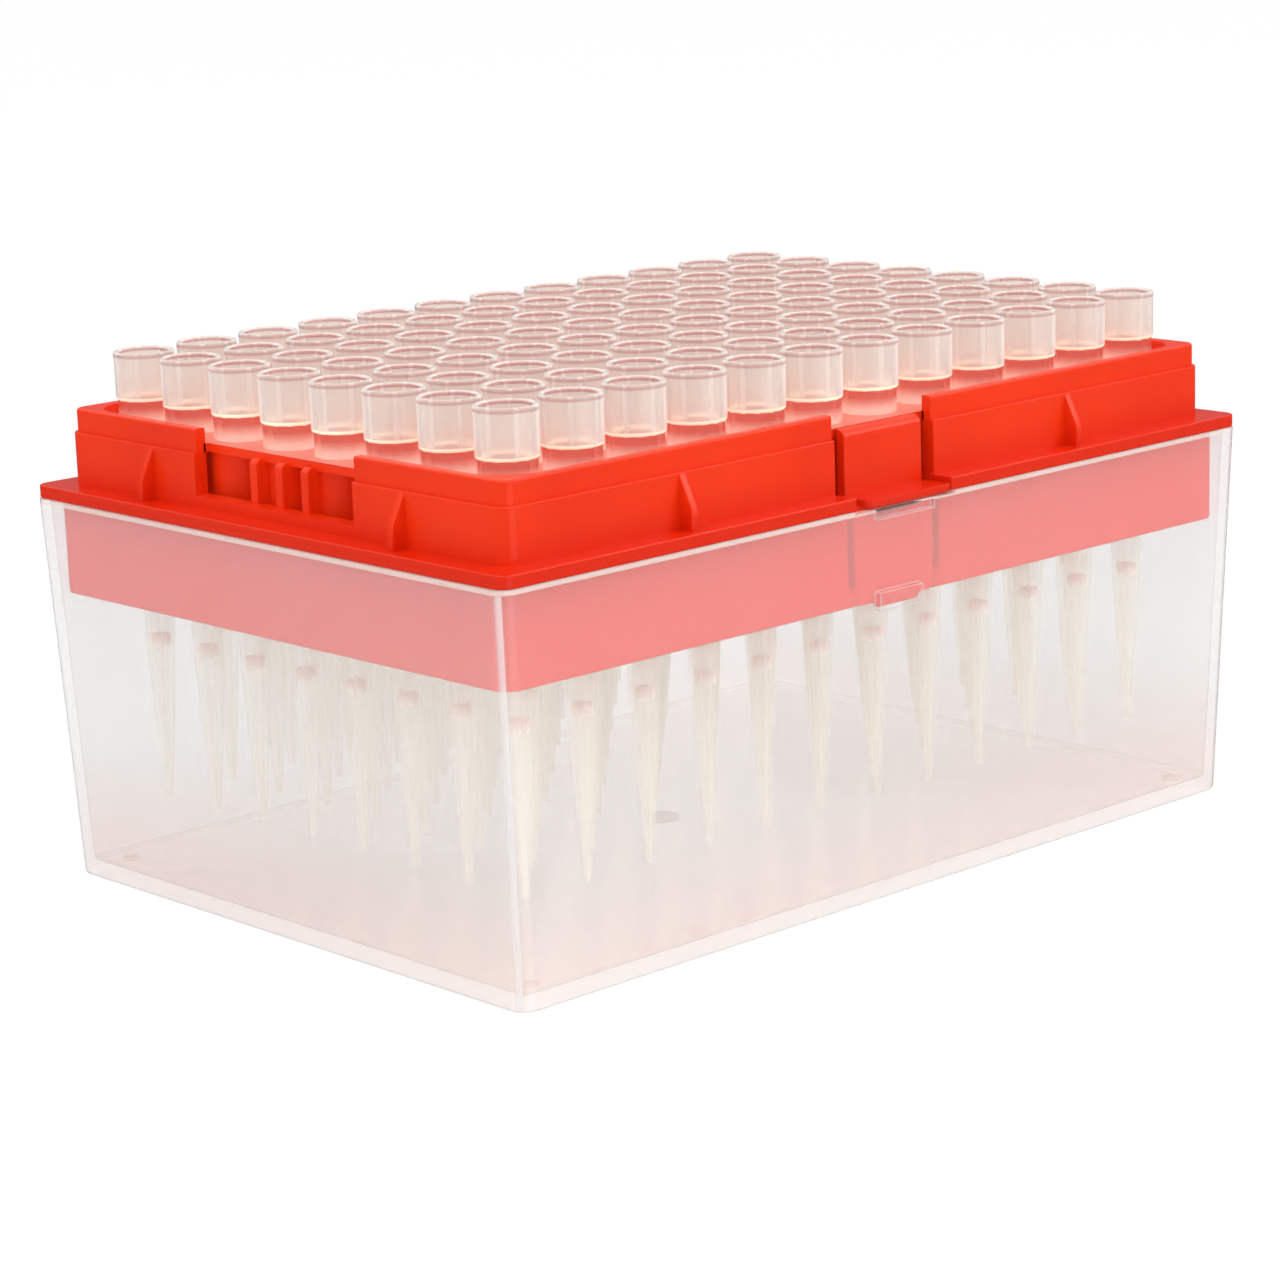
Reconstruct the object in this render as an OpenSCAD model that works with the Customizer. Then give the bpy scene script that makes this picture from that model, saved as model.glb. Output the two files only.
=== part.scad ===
// Box of pipette tips: a translucent tub, a red snap-in rack that stands on its rim,
// and a grid of filter tips that hang in the rack's sockets.
// Millimetres, +Z up. The origin is the centre of the tub's underside.
// +X runs along the long side. The two long sides are the same under a half turn.

/* [Tip grid] */
// Distance between the axes of neighbouring tips
pitch = 9; // [8.8:0.1:9.4]
// Tips along the long side
columns = 12; // [6:1:14]
// Tips along the short side
rows = 8; // [6:1:10]

/* [Tub] */
// Height of the tub's rim, which carries the rack
rim_z = 45.4; // [44:0.2:48]
// Thickness of the tub's walls
tub_wall = 1.2; // [1:0.1:1.3]
// Thickness of the tub's floor
tub_floor = 1.5; // [1:0.1:2.5]
// How far each wall leans in from the rim down to the floor, along X
tub_draft_x = 1.9; // [1:0.1:2.5]
// How far each wall leans in from the rim down to the floor, along Y
tub_draft_y = 1.4; // [1:0.1:2.5]
// Radius of the tub's upright corners
tub_corner_r = 2; // [1.8:0.1:4]

/* [Rack] */
// Room between the outermost tip axes and the inside of the rack's wall
margin = 4.9; // [4.7:0.1:5.2]
// Height of the deck that the tips stand on
deck_z = 53.9; // [53:0.1:55]
// Thickness of the deck
deck_t = 1; // [0.8:0.1:1.5]
// Thickness of the upper tier of the wall
wall_t = 1.3; // [1.2:0.1:1.5]
// How far the wall stands above the deck
wall_above_deck = 1.8; // [1.4:0.1:2.4]
// How far the flange's edge stands out from the lower tier of the wall
flange_out_x = 3.1; // [3:0.1:3.5]
// The same on the long sides
flange_out_y = 3; // [2.9:0.1:3.4]
// Thickness of the flange that lies on the rim
flange_t = 1.5; // [1.2:0.1:1.5]
// How deep the skirt reaches into the tub
skirt_depth = 11.2; // [10:0.2:14]
// Outer radius of a socket under the deck
socket_r = 3.9; // [3.7:0.05:4.2]
// Length of a socket, with the deck
socket_len = 9; // [6:0.5:12]

/* [Latches] */
// Width of a latch tab
tab_w = 12.7; // [10:0.1:14]
// Width of the slots beside a latch tab
slit_w = 1.1; // [0.8:0.1:1.4]
// Width of the gap in the wall round a latch tab
latch_gap_w = 16; // [15.6:0.1:20]

/* [Tips] */
// Height of the tips' rims
tip_top_z = 62.2; // [60:0.2:64]
// Length of a tip
tip_len = 53; // [48:0.5:55]
// Outer radius of a tip's rim
tip_rim_r = 3.5; // [3.4:0.05:3.7]
// Radius of a tip's mouth
tip_mouth_r = 2.75; // [2.6:0.05:2.85]
// Height of the filter's underside
filter_z = 27.4; // [24:0.2:32]
// Length of a filter
filter_len = 1.4; // [1:0.1:5]

/* [Hidden] */
$fn = 32;
eps = 0.01;

function two_digits(number) = str(number < 10 ? "0" : "", number);
TIPS = [for (c = [1:columns]) str("tips_column_", two_digits(c))];
FILTERS = [for (c = [1:columns]) str("filters_column_", two_digits(c))];

// Grid of tip axes
grid_x = (columns - 1) * pitch;
grid_y = (rows - 1) * pitch;

// Rack wall: inside, upper tier, lower tier, flange and skirt
inside_x = grid_x + 2 * margin;
inside_y = grid_y + 2 * margin;
upper_x = inside_x + 2 * wall_t;
upper_y = inside_y + 2 * wall_t;
tier_step = 0.4;
lower_x = upper_x + 2 * tier_step;
lower_y = upper_y + 2 * tier_step;
flange_x = lower_x + 2 * flange_out_x;
flange_y = lower_y + 2 * flange_out_y;
flange_r = 1.6;
skirt_inset_x = 1.5;
skirt_inset_y = 1.8;
skirt_x = flange_x - 2 * skirt_inset_x;
skirt_y = flange_y - 2 * skirt_inset_y;
skirt_t = 1.4;
skirt_r = 2.5;
skirt_low = rim_z - skirt_depth;
flange_top = rim_z + flange_t;
wall_top = deck_z + wall_above_deck;
tier_z = deck_z - 0.9;
wall_round = 0.3;

// Finger notch in each short side
end_notch_w = 27.8;
end_sill_z = flange_top + 1.4;
end_rib_t = 1.3;
end_rib_back = 0.55;
end_rib_top = deck_z - 0.6;
end_rib_chamfer = 0.5;
end_deck_back = 0.4;

// Small gussets between the lower tier and the flange
gusset_t = 1;
gusset_out = 1.8;
gusset_top = deck_z - 1;
gusset_low_corner = flange_top + 2.4;
gusset_x = 31.1;
gusset_y = 22;

// Tub
rim_x = flange_x + 0.6;
rim_y = flange_y + 0.1;
foot_x = rim_x - 2 * tub_draft_x;
foot_y = rim_y - 2 * tub_draft_y;
foot_edge = 0.5;

// Latch tab, as on the side that faces -Y
tab_face_y = -upper_y / 2 - 0.2;
tab_t = wall_t;
tab_block_w = tab_w - 0.2;
tab_top_r = 1;
tab_ledge_low = rim_z - 0.05;
tab_ledge_top = rim_z + 0.85;
tab_ledge_left = -5.6;
tab_ledge_right = 7.5;
tab_ledge_front = -flange_y / 2 + 0.05;
tab_ledge_r = 1.3;
tongue_front = -skirt_y / 2;
tongue_corner_r = 0.7;
slit_low = skirt_low + 2.2;
slit_hairline = 0.12;
hook_w = 6.2;
hook_out = 1;
hook_low = skirt_low - 0.5;
hook_high = skirt_low + 1;
window_w = 7.1;
window_low = skirt_low - 0.9;
window_high = skirt_low + 1.3;
window_left_wall = 0.36;
rim_dip = 0.3;
rim_pocket_w = 9.4;
rim_pocket_low = rim_z - 1.4;
rim_pocket_high = rim_z - 0.35;
rim_pocket_depth = 0.6;

// Tip section, from the nozzle up
tip_low_z = tip_top_z - tip_len;
tip_end_r = 0.4;
tip_end_bore_r = 0.2;
tip_knee_z = tip_low_z + 11;
tip_knee_r = 1.25;
tip_neck_r = 2.95;
tip_collar_r = tip_rim_r - 0.05;
tip_rim_round = 0.2;
tip_lip_drop = 0.5;
tip_lip_w = 0.25;
tip_shoulder_r = 3.2;
tip_shelf_z = tip_top_z - 5.6;
tip_shelf_round = 0.15;
tip_ledge_z = tip_shelf_z + 0.2;
tip_ledge_r = tip_mouth_r - 0.4;
filter_r = 1.15;
filter_bore_r = filter_r + 0.02;
filter_seat_r = filter_r - 0.35;
bore_r = tip_neck_r + 0.1;

function column_x(c) = (c - (columns + 1) / 2) * pitch;
function row_y(r) = (r - (rows + 1) / 2) * pitch;

// ---------------------------------------------------------------- outlines

// A rectangle with round corners, centred on the origin
module round_rect(size_x, size_y, corner_r) {
    square([size_x - 2 * corner_r, size_y], center = true);
    square([size_x, size_y - 2 * corner_r], center = true);
    for (sx = [-1, 1], sy = [-1, 1])
        translate([sx * (size_x / 2 - corner_r), sy * (size_y / 2 - corner_r)])
            circle(r = corner_r);
}

// A plate with round corners between two heights
module slab(size_x, size_y, corner_r, low, high) {
    translate([0, 0, low])
        linear_extrude(high - low)
            round_rect(size_x, size_y, corner_r);
}

// A block given by its lowest and highest corners
module block(low, high) {
    translate(low)
        cube(high - low);
}

// A prism along X, whose outline is drawn as [y, z] points
module prism_x(x_low, x_high, outline) {
    translate([x_low, 0, 0])
        rotate([90, 0, 90])
            linear_extrude(x_high - x_low)
                polygon(outline);
}

// A prism along Y, whose outline is drawn as [x, z] points
module prism_y(y_low, y_high, outline) {
    translate([0, y_high, 0])
        rotate([90, 0, 0])
            linear_extrude(y_high - y_low)
                polygon(outline);
}

// The same thing again, turned half round the upright axis
module both_ends() {
    for (turn = [0, 180])
        rotate([0, 0, turn])
            children();
}

// ---------------------------------------------------------------- tub

// A drafted box with round corners and a soft lower edge, from low up to high
module drafted_box(inset, low, high) {
    hull()
        for (sx = [-1, 1], sy = [-1, 1]) {
            corner_x = sx * (foot_x / 2 - tub_corner_r);
            corner_y = sy * (foot_y / 2 - tub_corner_r);
            rise_x = sx * tub_draft_x / rim_z;
            rise_y = sy * tub_draft_y / rim_z;
            translate([corner_x + rise_x * low, corner_y + rise_y * low, low])
                cylinder(r1 = tub_corner_r - inset - foot_edge, r2 = tub_corner_r - inset, h = foot_edge);
            translate([corner_x + rise_x * high, corner_y + rise_y * high, high - eps])
                cylinder(r = tub_corner_r - inset, h = eps);
        }
}

// The window that the latch's hook springs into, cut from inside the wall
module hook_window() {
    wall_out = foot_y / 2 + tub_draft_y * skirt_low / rim_z;
    block([-window_w / 2, -wall_out + window_left_wall, window_low],
          [window_w / 2, -wall_out + tub_wall + 1, window_high]);
}

// The lowered stretch of rim under the latch's ledge
module rim_cut() {
    block([-latch_gap_w / 2, -rim_y / 2 - 1, rim_z - rim_dip],
          [latch_gap_w / 2, -rim_y / 2 + tub_wall + 1, rim_z + 1]);
}

// The nail pocket outside, just under the ledge
module rim_pocket() {
    block([-rim_pocket_w / 2, -rim_y / 2 - 1, rim_pocket_low],
          [rim_pocket_w / 2, -rim_y / 2 + rim_pocket_depth, rim_pocket_high]);
}

module tub() {
    color([0.93, 0.90, 0.88, 0.35])
        difference() {
            drafted_box(0, 0, rim_z);
            drafted_box(tub_wall, tub_floor, rim_z + 1);
            both_ends() {
                hook_window();
                rim_cut();
                rim_pocket();
            }
        }
}

// ---------------------------------------------------------------- rack

// The wall's two tiers, round the deck; a narrower band on top softens the edge
module wall_solid() {
    slab(lower_x, lower_y, 2, rim_z, tier_z);
    slab(upper_x, upper_y, 1.6, rim_z, wall_top - wall_round);
    slab(upper_x - wall_round, upper_y - wall_round, 1.5, rim_z, wall_top);
}

module skirt_and_flange() {
    slab(flange_x, flange_y, flange_r, rim_z, flange_top);
    slab(skirt_x, skirt_y, skirt_r, skirt_low, rim_z + eps);
}

// One gusset on each half of each side
module gussets() {
    for (s = [-1, 1])
        both_ends() {
            prism_x(s * gusset_x - gusset_t / 2, s * gusset_x + gusset_t / 2, [
                [-lower_y / 2 + 0.5, flange_top - 0.5],
                [-lower_y / 2 - gusset_out, flange_top - 0.5],
                [-lower_y / 2 - gusset_out, gusset_low_corner],
                [-lower_y / 2, gusset_top],
                [-lower_y / 2 + 0.5, gusset_top]]);
            prism_y(s * gusset_y - gusset_t / 2, s * gusset_y + gusset_t / 2, [
                [-lower_x / 2 + 0.5, flange_top - 0.5],
                [-lower_x / 2 - gusset_out, flange_top - 0.5],
                [-lower_x / 2 - gusset_out, gusset_low_corner],
                [-lower_x / 2, gusset_top],
                [-lower_x / 2 + 0.5, gusset_top]]);
        }
}

module deck_and_sockets() {
    slab(inside_x + 1, inside_y + 1, 5, deck_z - deck_t, deck_z);
    for (c = [1:columns], r = [1:rows])
        translate([column_x(c), row_y(r), deck_z - socket_len])
            cylinder(r = socket_r, h = socket_len - deck_t / 2);
}

module socket_bores() {
    for (c = [1:columns], r = [1:rows])
        translate([column_x(c), row_y(r), deck_z - socket_len - 1])
            cylinder(r = bore_r, h = socket_len + 2);
}

// Space round the latch tab: the gap in both tiers, the flange and the skirt's slots
module latch_space() {
    block([-latch_gap_w / 2, -flange_y / 2 - 1, flange_top],
          [latch_gap_w / 2, -inside_y / 2, wall_top + 1]);
    block([-latch_gap_w / 2 + 0.15, -flange_y / 2 - 1, rim_z - 1],
          [tab_ledge_right + 0.1, -inside_y / 2 + 0.2, flange_top + 1]);
    block([-tab_w / 2 - slit_w, -skirt_y / 2 - 1, slit_low],
          [tab_w / 2 + slit_w, -skirt_y / 2 + skirt_t + 1, rim_z + 1]);
    block([-tab_w / 2 - slit_hairline, -skirt_y / 2 - 1, skirt_low - 1],
          [tab_w / 2 + slit_hairline, -skirt_y / 2 + skirt_t + 1, slit_low + 1]);
    for (s = [-1, 1])
        translate([s * (tab_w / 2 + 0.35), -skirt_y / 2 + skirt_t / 2, skirt_low])
            rotate([0, 45, 0])
                cube([0.9, skirt_t + 2, 0.9], center = true);
}

// The finger notch: both tiers are cut down to the sill, and the deck's edge is set back
module end_notch() {
    block([-lower_x / 2 - 1, -end_notch_w / 2, end_sill_z],
          [-inside_x / 2 + end_deck_back, end_notch_w / 2, wall_top + 1]);
}

// Upright ribs that stand in the finger notch
module end_ribs() {
    front = -upper_x / 2 + end_rib_back;
    for (step = [-1, 0, 1]) {
        back = step == 0 ? -grid_x / 2 - 1 : -grid_x / 2 - socket_r + 0.6;
        y = step * pitch / 2;
        prism_y(y - end_rib_t / 2, y + end_rib_t / 2, [
            [front, flange_top - 0.5],
            [back, flange_top - 0.5],
            [back, deck_z - deck_t / 2],
            [-inside_x / 2 + end_deck_back, end_rib_top],
            [front + end_rib_chamfer, end_rib_top],
            [front, end_rib_top - end_rib_chamfer]]);
    }
}

module rack() {
    color([0.96, 0.24, 0.13])
        difference() {
            union() {
                difference() {
                    union() {
                        wall_solid();
                        skirt_and_flange();
                        gussets();
                    }
                    slab(inside_x, inside_y, 5, rim_z - 1, wall_top + 1);
                    slab(skirt_x - 2 * skirt_t, skirt_y - 2 * skirt_t, skirt_r - skirt_t,
                         skirt_low - 1, rim_z);
                    both_ends()
                        end_notch();
                }
                intersection() {
                    deck_and_sockets();
                    block([-inside_x / 2 - 0.5, -inside_y / 2 - 0.5, 0],
                          [inside_x / 2 + 0.5, inside_y / 2 + 0.5, wall_top]);
                }
                both_ends()
                    end_ribs();
            }
            socket_bores();
            both_ends()
                latch_space();
        }
}

// ---------------------------------------------------------------- latch tabs

// The tab hangs from the deck's edge: a block in the wall's gap, a ledge over the rim,
// a tongue in the skirt's plane, and a hook at its lower end
module latch_tab() {
    tab_block();
    tab_ledge();
    tab_tongue();
    tab_hook();
}

// The block's top front edge is round about the bend that the tab swings on
module tab_block() {
    translate([-tab_block_w / 2, 0, 0])
        rotate([90, 0, 90])
            linear_extrude(tab_block_w)
                intersection() {
                    union() {
                        translate([tab_face_y + tab_top_r, deck_z - tab_top_r])
                            circle(r = tab_top_r);
                        translate([tab_face_y, tab_ledge_low])
                            square([tab_t, deck_z - tab_top_r - tab_ledge_low]);
                        translate([tab_face_y + tab_top_r, tab_ledge_low])
                            square([tab_t - tab_top_r, deck_z - tab_ledge_low]);
                    }
                    translate([tab_face_y, tab_ledge_low])
                        square([tab_t, deck_z - tab_ledge_low]);
                }
}

// The ledge has one rounded front corner; its other end runs on to the flange
module tab_ledge() {
    translate([0, 0, tab_ledge_low])
        linear_extrude(tab_ledge_top - tab_ledge_low)
            difference() {
                translate([tab_ledge_left, tab_ledge_front])
                    square([tab_ledge_right - tab_ledge_left, tab_face_y + tab_t - tab_ledge_front]);
                translate([tab_ledge_left, tab_ledge_front])
                    difference() {
                        square(2 * tab_ledge_r, center = true);
                        translate([tab_ledge_r, tab_ledge_r])
                            circle(r = tab_ledge_r);
                    }
            }
}

module tab_tongue() {
    low = skirt_low;
    translate([0, tongue_front + skirt_t, 0])
        rotate([90, 0, 0])
            linear_extrude(skirt_t) {
                translate([-tab_w / 2, low + tongue_corner_r])
                    square([tab_w, tab_ledge_low - low - tongue_corner_r + eps]);
                translate([-tab_w / 2 + tongue_corner_r, low])
                    square([tab_w - 2 * tongue_corner_r, 2 * tongue_corner_r]);
                for (s = [-1, 1])
                    translate([s * (tab_w / 2 - tongue_corner_r), low + tongue_corner_r])
                        circle(r = tongue_corner_r);
            }
}

module tab_hook() {
    prism_x(-hook_w / 2, hook_w / 2, [
        [tongue_front + 0.5, hook_low],
        [tongue_front - hook_out * 0.4, hook_low],
        [tongue_front - hook_out, hook_high - 0.5],
        [tongue_front - hook_out, hook_high],
        [tongue_front + 0.5, hook_high]]);
}

module latch_tab_front() {
    color([0.96, 0.24, 0.13])
        latch_tab();
}

module latch_tab_back() {
    color([0.96, 0.24, 0.13])
        rotate([0, 0, 180])
            latch_tab();
}

// ---------------------------------------------------------------- tips and filters

module tip() {
    rotate_extrude()
        polygon([
            [tip_end_bore_r, tip_low_z],
            [tip_end_r, tip_low_z],
            [tip_knee_r, tip_knee_z],
            [tip_neck_r, deck_z],
            [tip_shoulder_r, deck_z],
            [tip_shoulder_r, tip_shelf_z],
            [tip_collar_r - tip_shelf_round, tip_shelf_z],
            [tip_collar_r, tip_shelf_z + tip_shelf_round],
            [tip_rim_r, tip_top_z - tip_rim_round],
            [tip_rim_r - tip_rim_round, tip_top_z],
            [tip_mouth_r + tip_lip_w, tip_top_z],
            [tip_mouth_r, tip_top_z - tip_lip_drop],
            [tip_mouth_r, tip_ledge_z],
            [tip_ledge_r, tip_ledge_z],
            [filter_bore_r, filter_z + filter_len + 1],
            [filter_bore_r, filter_z],
            [filter_seat_r, filter_z]]);
}

module filter_plug() {
    translate([0, 0, filter_z])
        cylinder(r = filter_r, h = filter_len);
}

// One column of tips, across the short side
module tips_column(c) {
    color([0.95, 0.91, 0.86, 0.6])
        for (r = [1:rows])
            translate([column_x(c), row_y(r), 0])
                tip();
}

module filters_column(c) {
    color([0.93, 0.80, 0.78])
        for (r = [1:rows])
            translate([column_x(c), row_y(r), 0])
                filter_plug();
}

// ---------------------------------------------------------------- nodes

tub();
rack();
latch_tab_front();
latch_tab_back();
for (c = [1:columns]) {
    tips_column(c);
    filters_column(c);
}
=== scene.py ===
"""Looks of a box of pipette tips: clear tub, red snap-in rack, its latch tabs, the tips and their filters.

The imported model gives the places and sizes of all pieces. Each class below builds one kind of piece with the
modelling operators, gives it its finish and lets it stand for the solid of the same name.
"""

import logging
import math
import random
from collections.abc import Callable, Iterable
from dataclasses import dataclass, field
from enum import Enum

import bmesh
import bpy
from mathutils import Matrix, Vector


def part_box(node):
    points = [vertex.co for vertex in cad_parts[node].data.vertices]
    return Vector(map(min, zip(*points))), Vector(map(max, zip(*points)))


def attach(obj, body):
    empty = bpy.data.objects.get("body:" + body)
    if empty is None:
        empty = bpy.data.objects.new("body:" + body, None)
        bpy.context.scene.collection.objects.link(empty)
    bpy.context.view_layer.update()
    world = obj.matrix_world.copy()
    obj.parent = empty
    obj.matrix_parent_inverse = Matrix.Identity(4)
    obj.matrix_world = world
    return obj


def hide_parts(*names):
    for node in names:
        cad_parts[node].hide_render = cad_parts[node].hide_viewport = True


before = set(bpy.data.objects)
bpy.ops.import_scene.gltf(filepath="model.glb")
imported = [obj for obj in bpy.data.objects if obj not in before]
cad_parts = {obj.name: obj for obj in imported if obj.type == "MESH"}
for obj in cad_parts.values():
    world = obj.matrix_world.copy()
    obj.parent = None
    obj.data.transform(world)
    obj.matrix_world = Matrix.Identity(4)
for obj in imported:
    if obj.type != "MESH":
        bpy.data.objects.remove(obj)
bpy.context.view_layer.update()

log = logging.getLogger("tip_box")

MM = 0.001
BOX_BODY = "box"
TIP_UV = "around"
HALF_TURN = Matrix.Rotation(math.pi, 4, "Z")
TOUCH = 1e-6
WHITE = (1, 1, 1, 1)
COLUMNS = sorted(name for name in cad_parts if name.startswith("tips_column_"))


class Slot(Enum):
    """The record's material slots."""

    TUB = "tub_clear"
    RACK = "rack_red"
    TIP = "tip_clear"
    FILTER = "filter_white"


# ---------------------------------------------------------------- modelling helpers


def deselect_all() -> None:
    """Leaves object mode clean: nothing is selected."""
    if bpy.context.object and bpy.context.object.mode != "OBJECT":
        bpy.ops.object.mode_set(mode="OBJECT")
    bpy.ops.object.select_all(action="DESELECT")


def activate(piece: bpy.types.Object) -> None:
    """Makes a piece the only selected object, and the active one."""
    deselect_all()
    piece.select_set(True)
    bpy.context.view_layer.objects.active = piece


class Editing:
    """Edit mode on one piece, for a with block."""

    def __init__(self, piece: bpy.types.Object) -> None:
        """Keeps the piece that is to be edited."""
        self.piece = piece

    def __enter__(self) -> "Editing":
        """Enters edit mode with nothing selected."""
        activate(self.piece)
        bpy.ops.object.mode_set(mode="EDIT")
        bpy.ops.mesh.select_all(action="DESELECT")
        return self

    def __exit__(self, *_: object) -> None:
        """Goes back to object mode."""
        bpy.ops.object.mode_set(mode="OBJECT")

    def _pick(self, kind: str, test: Callable) -> None:
        """Selects only the elements of one kind that pass a test.

        Args:
            kind: EDGE or FACE.
            test: Says of one element whether it is wanted.
        """
        bpy.ops.mesh.select_mode(type=kind)
        bpy.ops.mesh.select_all(action="DESELECT")
        cage = bmesh.from_edit_mesh(self.piece.data)
        for element in {"EDGE": cage.edges, "FACE": cage.faces}[kind]:
            if test(element):
                element.select_set(True)
        cage.select_flush_mode()
        bmesh.update_edit_mesh(self.piece.data)

    def edges(
        self, end: Callable[[Vector], bool], span: Callable[[Vector], bool] = lambda span: True
    ) -> None:
        """Selects the edges whose two ends pass a test, and whose span from end to end passes another."""

        def wanted(edge: bmesh.types.BMEdge) -> bool:
            first, second = (vert.co for vert in edge.verts)
            return end(first) and end(second) and span(second - first)

        self._pick("EDGE", wanted)

    def uprights(self, length: float) -> None:
        """Selects the edges that rise by more than a length."""
        self.edges(lambda end: True, lambda span: abs(span.z) > length)

    def faces(self, test: Callable[[bmesh.types.BMFace], bool]) -> None:
        """Selects the faces that pass a test."""
        self._pick("FACE", test)


def bevel(radius: float, segments: int) -> None:
    """Rounds the selected edges by a radius, in a number of steps."""
    bpy.ops.mesh.bevel(offset=radius, segments=segments, affect="EDGES")


def apply_modifier(piece: bpy.types.Object, kind: str, **settings: object) -> None:
    """Adds a modifier, sets it and applies it.

    Args:
        piece: The object that gets it.
        kind: Blender's name of the modifier's type.
        settings: The modifier's own settings.
    """
    activate(piece)
    modifier = piece.modifiers.new(kind.lower(), kind)
    for name, value in settings.items():
        setattr(modifier, name, value)
    bpy.ops.object.modifier_apply(modifier=modifier.name)


def add_block(low: Iterable[float], high: Iterable[float], name: str) -> bpy.types.Object:
    """Adds a block between two corners, with its place in its mesh.

    Args:
        low: The lowest corner.
        high: The highest corner.
        name: The new object's name.

    Returns:
        The block.
    """
    deselect_all()
    low, high = Vector(low), Vector(high)
    bpy.ops.mesh.primitive_cube_add(size=1, location=(low + high) / 2, scale=high - low)
    block = bpy.context.object
    block.name = name
    bpy.ops.object.transform_apply(location=True, rotation=True, scale=True)
    return block


def join(parts: list[bpy.types.Object], name: str) -> bpy.types.Object:
    """Joins several objects into one.

    Args:
        parts: The objects, each with its place in its mesh.
        name: The name of the result.

    Returns:
        The joined object, at the origin.
    """
    activate(parts[0])
    for part in parts:
        part.select_set(True)
    bpy.ops.object.join()
    joined = bpy.context.object
    joined.name = joined.data.name = name
    return joined


def copy_turned(source: bpy.types.Object, placing: Matrix, name: str) -> bpy.types.Object:
    """Copies an object with its own mesh, and puts a move or turn into that mesh.

    Args:
        source: The object to copy.
        placing: Where the copy goes.
        name: The copy's name.

    Returns:
        The copy.
    """
    copy = source.copy()
    copy.data = source.data.copy()
    copy.name = copy.data.name = name
    copy.data.transform(placing)
    bpy.context.scene.collection.objects.link(copy)
    return copy


def cut_with(piece: bpy.types.Object, cutters: list[bpy.types.Object]) -> None:
    """Cuts other objects out of a piece, and deletes them.

    Args:
        piece: The object that is changed; shells of it that overlap become one.
        cutters: The tools, which are used up.
    """
    tool = join(cutters, "tool")
    apply_modifier(piece, "BOOLEAN", operation="DIFFERENCE", solver="EXACT", use_self=True, object=tool)
    bpy.data.objects.remove(tool)


def add_plate(
    size: tuple[float, float], low: float, high: float, corner_r: float, top_r: float = 0, low_r: float = 0
) -> bpy.types.Object:
    """Adds a plate with round corners, centred on the Z axis.

    Args:
        size: Its length along X and along Y.
        low: The height of its underside.
        high: The height of its top.
        corner_r: The radius of its upright corners.
        top_r: How far its top edges are rounded.
        low_r: How far its lower edges are rounded.

    Returns:
        The plate.
    """
    half_x, half_y = (length / 2 for length in size)
    plate = add_block((-half_x, -half_y, low), (half_x, half_y, high), "plate")
    with Editing(plate) as edit:
        edit.uprights((high - low) / 2)
        bevel(corner_r, 8)
        for height, radius in ((high, top_r), (low, low_r)):
            if radius:
                edit.edges(lambda end: abs(end.z - height) < TOUCH)
                bevel(radius, 3)
    return plate


def slice_off(piece: bpy.types.Object, point: tuple, outward: tuple) -> None:
    """Cuts a solid with the plane through a point, drops what is outward of it and closes the cut."""
    facing = Vector(outward).normalized()
    with Editing(piece):
        bpy.ops.mesh.select_all(action="SELECT")
        bpy.ops.mesh.bisect(plane_co=point, plane_no=facing, use_fill=True, clear_outer=True, threshold=TOUCH)


def soften(piece: bpy.types.Object, radius: float, segments: int = 2) -> bpy.types.Object:
    """Rounds all sharp edges of a simple solid.

    Args:
        piece: The solid.
        radius: How far the edges are rounded.
        segments: How many steps that takes.

    Returns:
        The solid.
    """
    angle = math.radians(40)
    apply_modifier(piece, "BEVEL", width=radius, segments=segments, limit_method="ANGLE", angle_limit=angle)
    return piece


def lathe(profile: list[tuple[float, float]], segments: int, name: str) -> bpy.types.Object:
    """Turns a closed outline round the Z axis, ring by ring, as by hand with extrude, scale and move.

    Args:
        profile: Radius and height of each ring, from the lowest outer one up and round to the inner ones.
        segments: How many sides a ring has.
        name: The new object's name.

    Returns:
        The turned solid.
    """
    deselect_all()
    radius, height = profile[0]
    bpy.ops.mesh.primitive_circle_add(vertices=segments, radius=radius, location=(0, 0, height))
    solid = bpy.context.object
    solid.name = solid.data.name = name
    bpy.ops.object.transform_apply(location=True)
    with Editing(solid):
        bpy.ops.mesh.select_mode(type="EDGE")
        bpy.ops.mesh.select_all(action="SELECT")
        for new_radius, new_height in profile[1:]:
            bpy.ops.mesh.extrude_edges_move(
                TRANSFORM_OT_translate={"value": (0, 0, new_height - height), "orient_type": "GLOBAL"}
            )
            grow = new_radius / radius
            bpy.ops.transform.resize(value=(grow, grow, 1), center_override=(0, 0, new_height))
            radius, height = new_radius, new_height
        bpy.ops.mesh.select_all(action="DESELECT")
        bpy.ops.mesh.select_non_manifold(
            use_wire=False, use_boundary=True, use_multi_face=False, use_non_contiguous=False, use_verts=False
        )
        bpy.ops.mesh.bridge_edge_loops()
        bpy.ops.mesh.select_all(action="SELECT")
        bpy.ops.mesh.normals_make_consistent(inside=False)
    return solid


def smooth(piece: bpy.types.Object, degrees: float = 32.0) -> None:
    """Shades a piece smooth, apart from edges sharper than an angle.

    Args:
        piece: The object to shade.
        degrees: The angle.
    """
    activate(piece)
    bpy.ops.object.shade_smooth_by_angle(angle=math.radians(degrees))
    apply_modifier(piece, "WEIGHTED_NORMAL", mode="FACE_AREA", keep_sharp=True, weight=80)


# ---------------------------------------------------------------- shader expressions


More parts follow.
